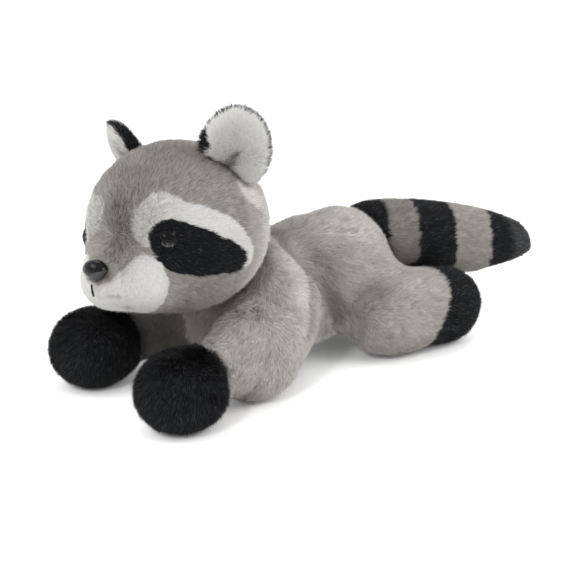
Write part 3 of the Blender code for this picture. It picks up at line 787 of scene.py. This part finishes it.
def roots_of(group):
    """The roots of one form's fibres: place, normal, piece and room, and the form's faces by piece."""
    skin = skins[group]
    solid_points, solid_triangles, solid_labels = joined(GROUPS[group])
    tree = tree_of(solid_points, solid_triangles)
    inner = skin["points"] - skin["normals"] * SKIN_INSET
    inner[:, 2] = np.maximum(inner[:, 2], FLOOR_CLEARANCE)
    room = room_beside(group)
    corner = skin["triangles"]
    a, b, c = (inner[corner[:, k]] for k in range(3))
    area = np.linalg.norm(np.cross(b - a, c - a), axis=1) / 2
    corner_label = labels_at(tree, solid_labels, skin["points"], skin["normals"], group)
    face_label = corner_label[corner[:, 0]]
    mixed = np.any(corner_label[corner] != face_label[:, None], axis=1)
    density = np.array([style_of(name).density for name in GROUPS[group]]) * 1e6
    shown = room[corner].max(axis=1) > -SOWN_DEPTH
    wanted = area * density[face_label] * shown
    count = np.floor(wanted + random.random(len(wanted))).astype(np.int64)
    face = np.repeat(np.arange(len(corner)), count)
    first = np.sqrt(random.random(len(face)))
    second = random.random(len(face))
    weights = np.stack([1 - first, first * (1 - second), first * second], axis=1)[:, :, None]
    place = (inner[corner[face]] * weights).sum(axis=1)
    normal = unit((skin["normals"][corner[face]] * weights).sum(axis=1))
    label = face_label[face]
    unsure = np.nonzero(mixed[face])[0]
    outer = place[unsure] + normal[unsure] * SKIN_INSET
    label[unsure] = labels_at(tree, solid_labels, outer, normal[unsure], group)
    fibre_room = (room[corner[face]] * weights[:, :, 0]).sum(axis=1)
    keep = fibre_room > -ROOT_DEPTH
    roots = place[keep], normal[keep], label[keep], fibre_room[keep]
    visible = room[corner].max(axis=1) > -FACE_DEPTH
    faces = [corner[(face_label == number) & visible] for number in range(len(GROUPS[group]))]
    return inner, faces, roots


def fibres_of(name, group, place, up, room):
    """Root, tip, sideways half width, normal and shade of each fibre of one piece."""
    style = style_of(name)
    total = len(place)
    way = style.flow(place, group)
    way = unit(way - up * (way * up).sum(axis=1, keepdims=True))
    swirl = sum(field(place, cell)[:, :3] * weight for cell, weight in SWIRLS)
    lay = way + swirl + random.normal(size=(total, 3)) * STRAY
    lay = unit(lay - up * (lay * up).sum(axis=1, keepdims=True))
    tilt = style.lean + LEAN_TUFTS * streaks(place, way, LEAN_CELL, 3)
    tilt = tilt + random.normal(size=total) * LEAN_CHANCE
    if name.startswith("mask_panel"):
        for eye in EYES:
            inward = eye - place
            away = np.linalg.norm(inward, axis=1)
            round_eye = ((away > EYE_RING[0]) & (away < EYE_RING[1]))[:, None]
            turned = unit(inward - up * (inward * up).sum(axis=1, keepdims=True))
            lay = np.where(round_eye, unit(turned + lay * EYE_LAY), lay)
            tilt = np.where(round_eye[:, 0], EYE_LEAN, tilt)
    tilt = np.radians(np.clip(tilt, *LEAN_LIMITS))[:, None]
    ahead = up * np.cos(tilt) + lay * np.sin(tilt)
    size = style.length * np.clip(1 + random.normal(size=total) * LENGTH_CHANCE, *LENGTH_LIMITS)
    squeezed, freed = ROOM_SHARES
    size = size * np.clip(squeezed + (room + ROOT_DEPTH) / ROOM_FADE * freed, ROOM_LEAST, 1)
    tip = place + ahead * size[:, None]
    tip[:, 2] = np.maximum(tip[:, 2], FLOOR_CLEARANCE)
    across = unit(np.cross(ahead, up) + random.normal(size=(total, 3)) * TWIST)
    across = unit(across - ahead * (across * ahead).sum(axis=1, keepdims=True))
    over = np.cross(across, ahead)
    over = over * np.sign((over * up).sum(axis=1, keepdims=True))
    tone = shade_of(name, place + up * SKIN_INSET, way, style.shade)
    tone = tone + random.normal(size=total) * SPECKLE[style.family]
    return tip, across * style.width / 2, over, np.clip(tone, *FIBRE_LIMITS)


def plush_piece(name, group, inner, faces, place, up, room):
    """One piece: its share of the skin, and its fibres as pointed blades that stand on it."""
    style = style_of(name)
    used, faces = np.unique(faces, return_inverse=True)
    faces = faces.reshape(-1, 3)
    skin_points, skin_normals = inner[used], skins[group]["normals"][used]
    tip, half, over, tone = fibres_of(name, group, place, up, room)
    total = len(place)
    left, right = place - half, place + half
    left[:, 2] = np.maximum(left[:, 2], FLOOR_CLEARANCE)
    right[:, 2] = np.maximum(right[:, 2], FLOOR_CLEARANCE)
    turned = (np.cross(right - left, tip - left) * over).sum(axis=1) < 0
    left[turned], right[turned] = right[turned].copy(), left[turned].copy()
    blades = np.stack([left, right, tip], axis=1).reshape(-1, 3)
    points = np.concatenate([skin_points, blades])
    triangles = np.concatenate([faces, len(used) + np.arange(3 * total).reshape(-1, 3)])
    glow = unit(up + over * ROOT_GLOW)
    blade_normals = np.stack([glow, glow, unit(up + over * TIP_GLOW)], axis=1).reshape(-1, 3)
    normals = np.concatenate([skin_normals, blade_normals])

    way = unit(style.flow(skin_points, group))
    skin_tone = shade_of(name, skin_points, way, style.shade)[faces].mean(axis=1)
    skin_tone = np.clip(skin_tone, *FACE_LIMITS)
    skin_map = np.empty((len(faces), 3, 2))
    skin_map[:, :, 0] = skin_tone[:, None] + CORNERS_ACROSS
    skin_map[:, :, 1] = SKIN_UP
    blade_map = np.empty((total, 3, 2))
    blade_map[:, :, 0] = tone[:, None] + CORNERS_ACROSS
    blade_map[:, :, 1] = BLADE_UP
    palette = np.concatenate([skin_map.reshape(-1, 2), blade_map.reshape(-1, 2)])

    mesh = bpy.data.meshes.new(f"{name}_plush")
    mesh.vertices.add(len(points))
    mesh.vertices.foreach_set("co", points.astype(np.float32).ravel())
    mesh.loops.add(len(triangles) * 3)
    mesh.loops.foreach_set("vertex_index", triangles.astype(np.int32).ravel())
    mesh.polygons.add(len(triangles))
    mesh.polygons.foreach_set("loop_start", (np.arange(len(triangles)) * 3).astype(np.int32))
    mesh.update(calc_edges=True)
    layer = mesh.uv_layers.new(name="OFBake")
    layer.uv.foreach_set("vector", palette.astype(np.float32).ravel())
    mesh.polygons.foreach_set("use_smooth", np.ones(len(triangles), dtype=bool))
    mesh.normals_split_custom_set_from_vertices(normals.astype(np.float32))
    mesh.materials.append(PLUSH[style.family])
    piece = bpy.data.objects.new(f"{name}_plush", mesh)
    bpy.context.scene.collection.objects.link(piece)
    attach(piece, "root")
    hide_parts(name)
    return len(triangles)


triangle_total = 0
for group, names in GROUPS.items():
    inner, faces, (place, up, label, room) = roots_of(group)
    for number, name in enumerate(names):
        mine = label == number
        made = plush_piece(name, group, inner, faces[number], place[mine], up[mine], room[mine])
        triangle_total += made
        print("piece", name, made)
print("triangles", triangle_total)


# Plastic and thread

# The grain of the unevenness, the least and the most roughness as shares of the mean, and how far the edge
# between two colours is blurred to each side
GRAIN = 900
UNEVEN = (0.8, 1.3)
EDGE_BLUR = 0.03


def moulded(name, upper, lower, edge, roughness, index):
    """Moulded plastic or thread: its colour from above and from below an edge, and a fine unevenness. On the
    eyes and the nose the colour from below is a painted reflection of the floor.
    """
    material, tree, shader = shader_of(name)
    noise = node(tree, "ShaderNodeTexNoise")
    noise.inputs["Scale"].default_value = GRAIN
    place = node(tree, "ShaderNodeTexCoord")
    tree.links.new(place.outputs["Object"], noise.inputs["Vector"])
    spread = node(tree, "ShaderNodeMapRange")
    spread.inputs["To Min"].default_value = roughness * UNEVEN[0]
    spread.inputs["To Max"].default_value = roughness * UNEVEN[1]
    tree.links.new(noise.outputs["Fac"], spread.inputs["Value"])
    tree.links.new(spread.outputs["Result"], shader.inputs["Roughness"])
    shape = node(tree, "ShaderNodeNewGeometry")
    facing = node(tree, "ShaderNodeSeparateXYZ")
    tree.links.new(shape.outputs["Normal"], facing.inputs["Vector"])
    height = node(tree, "ShaderNodeMapRange")
    height.inputs["From Min"].default_value = -1
    tree.links.new(facing.outputs["Z"], height.inputs["Value"])
    middle = (edge + 1) / 2
    colour = ramp_node(tree, ((middle - EDGE_BLUR, lower), (middle + EDGE_BLUR, upper)))
    tree.links.new(height.outputs["Result"], colour.inputs["Fac"])
    tree.links.new(colour.outputs["Color"], shader.inputs["Base Color"])
    shader.inputs["IOR"].default_value = index
    return material


# Each colour from above and from below, then the edge between them, the roughness and the IOR. The paler
# grey from below on the eyes and the nose is a painted reflection of the floor
EYE = moulded("eye_plastic", (0.001, 0.001, 0.0012), (0.160, 0.161, 0.163), -0.25, 0.06, 1.24)
NOSE_PLASTIC = moulded("nose_plastic", (0.002, 0.002, 0.0025), (0.060, 0.060, 0.061), -0.12, 0.12, 1.28)
WASHER = moulded("washer_plastic", (0.75, 0.75, 0.73), (0.75, 0.75, 0.73), 0, 0.5, 1.5)
THREAD = moulded("thread", (0.01, 0.01, 0.012), (0.01, 0.01, 0.012), 0, 0.7, 1.3)
HARD = {
    "eye_left": EYE, "eye_right": EYE, "nose": NOSE_PLASTIC, "mouth_thread": THREAD,
    "eye_washer_left": WASHER, "eye_washer_right": WASHER, "nose_washer": WASHER,
}
for name, material in HARD.items():
    nodes[name].data.materials.clear()
    nodes[name].data.materials.append(material)


# Floor, light and camera


def seen_rays(tree):
    """1 for what the camera sees, straight or in gloss or through glass, and 0 for the light itself."""
    rays = node(tree, "ShaderNodeLightPath")
    total = None
    for output in ("Is Camera Ray", "Is Glossy Ray", "Is Transmission Ray"):
        if total is None:
            total = rays.outputs[output]
            continue
        step = node(tree, "ShaderNodeMath", operation="MAXIMUM")
        tree.links.new(total, step.inputs[0])
        tree.links.new(rays.outputs[output], step.inputs[1])
        total = step.outputs[0]
    return total


def white_floor(lift, reach, contact):
    """A pale floor, lifted to white where it is seen further than the contact shadow from the toy. The lift
    is a glow that fades by ambient occlusion near the toy, so shade is painted into the contact shadow there
    as well.
    """
    corners = [(-reach, -reach, 0), (reach, -reach, 0), (reach, reach, 0), (-reach, reach, 0)]
    mesh = bpy.data.meshes.new("floor")
    mesh.from_pydata(corners, [], [(0, 1, 2, 3)])
    floor = bpy.data.objects.new("floor", mesh)
    bpy.context.scene.collection.objects.link(floor)
    material, tree, shader = shader_of("floor")
    shader.inputs["Base Color"].default_value = (0.86, 0.858, 0.85, 1)
    shader.inputs["Roughness"].default_value = 1
    shader.inputs["Specular IOR Level"].default_value = 0
    shader.inputs["Emission Color"].default_value = (1, 1, 1, 1)
    open_floor = node(tree, "ShaderNodeAmbientOcclusion", samples=8)
    open_floor.inputs["Distance"].default_value = contact
    seen = node(tree, "ShaderNodeMath", operation="MULTIPLY")
    tree.links.new(seen_rays(tree), seen.inputs[0])
    tree.links.new(open_floor.outputs["AO"], seen.inputs[1])
    strength = node(tree, "ShaderNodeMath", operation="MULTIPLY")
    strength.inputs[1].default_value = lift
    tree.links.new(seen.outputs[0], strength.inputs[0])
    tree.links.new(strength.outputs[0], shader.inputs["Emission Strength"])
    mesh.materials.append(material)


def studio(strength):
    """Even light from all round, seen as plain white."""
    world = bpy.data.worlds.new("studio")
    bpy.context.scene.world = world
    world.use_nodes = True
    tree = world.node_tree
    background = tree.nodes["Background"]
    background.inputs["Color"].default_value = (1, 1, 1, 1)
    spread = node(tree, "ShaderNodeMapRange")
    spread.inputs["To Min"].default_value = strength
    spread.inputs["To Max"].default_value = 1
    tree.links.new(seen_rays(tree), spread.inputs["Value"])
    tree.links.new(spread.outputs["Result"], background.inputs["Strength"])


def lamp(name, azimuth, elevation, distance, size, power):
    """A round lamp that looks at the toy's middle: azimuth from the front to the toy's left, in degrees."""
    light = bpy.data.lights.new(name, "AREA")
    light.shape = "DISK"
    light.size = size
    light.energy = power
    obj = bpy.data.objects.new(name, light)
    turn, rising = math.radians(azimuth), math.radians(elevation)
    away = Vector((math.sin(turn) * math.cos(rising), -math.cos(turn) * math.cos(rising), math.sin(rising)))
    obj.location = LIT_PLACE + away * distance
    obj.rotation_euler = away.to_track_quat("Z", "Y").to_euler()
    bpy.context.scene.collection.objects.link(obj)


# The name, azimuth, elevation, distance, size and power in watts of each lamp
LAMPS = (
    ("front", 30, 36, 1.6, 0.20, 6.5),
    ("left_box", -18, 36, 1.5, 1.0, 8),
    ("right_box", 115, 36, 1.5, 1.0, 10),
    ("back_box", 222, 42, 1.6, 1.2, 5),
)
LIT_PLACE = Vector((0, 0, 0.06))

# The camera's lens and sensor in millimetres, its azimuth and elevation in degrees, its distance and the
# place that it looks at
LENS = 110
SENSOR = 36
CAMERA_ANGLES = (50, 20)
CAMERA_DISTANCE = 1.1
TARGET = LAYOUT + Vector((0, 0.014, 0.0467))

white_floor(lift=0.82, reach=6.0, contact=0.035)
studio(0.45)
for settings in LAMPS:
    lamp(*settings)

camera_data = bpy.data.cameras.new("camera")
camera_data.lens = LENS
camera_data.sensor_width = SENSOR
camera = bpy.data.objects.new("camera", camera_data)
bpy.context.scene.collection.objects.link(camera)
azimuth, elevation = (math.radians(angle) for angle in CAMERA_ANGLES)
sideways, forward = math.sin(azimuth) * math.cos(elevation), math.cos(azimuth) * math.cos(elevation)
back = Vector((sideways, -forward, math.sin(elevation)))
right = Vector((math.cos(azimuth), math.sin(azimuth), 0))
turn = Matrix((right, back.cross(right), back)).transposed().to_4x4()
camera.matrix_world = Matrix.Translation(TARGET + back * CAMERA_DISTANCE) @ turn
bpy.context.scene.camera = camera
bpy.context.scene.view_settings.view_transform = "Standard"
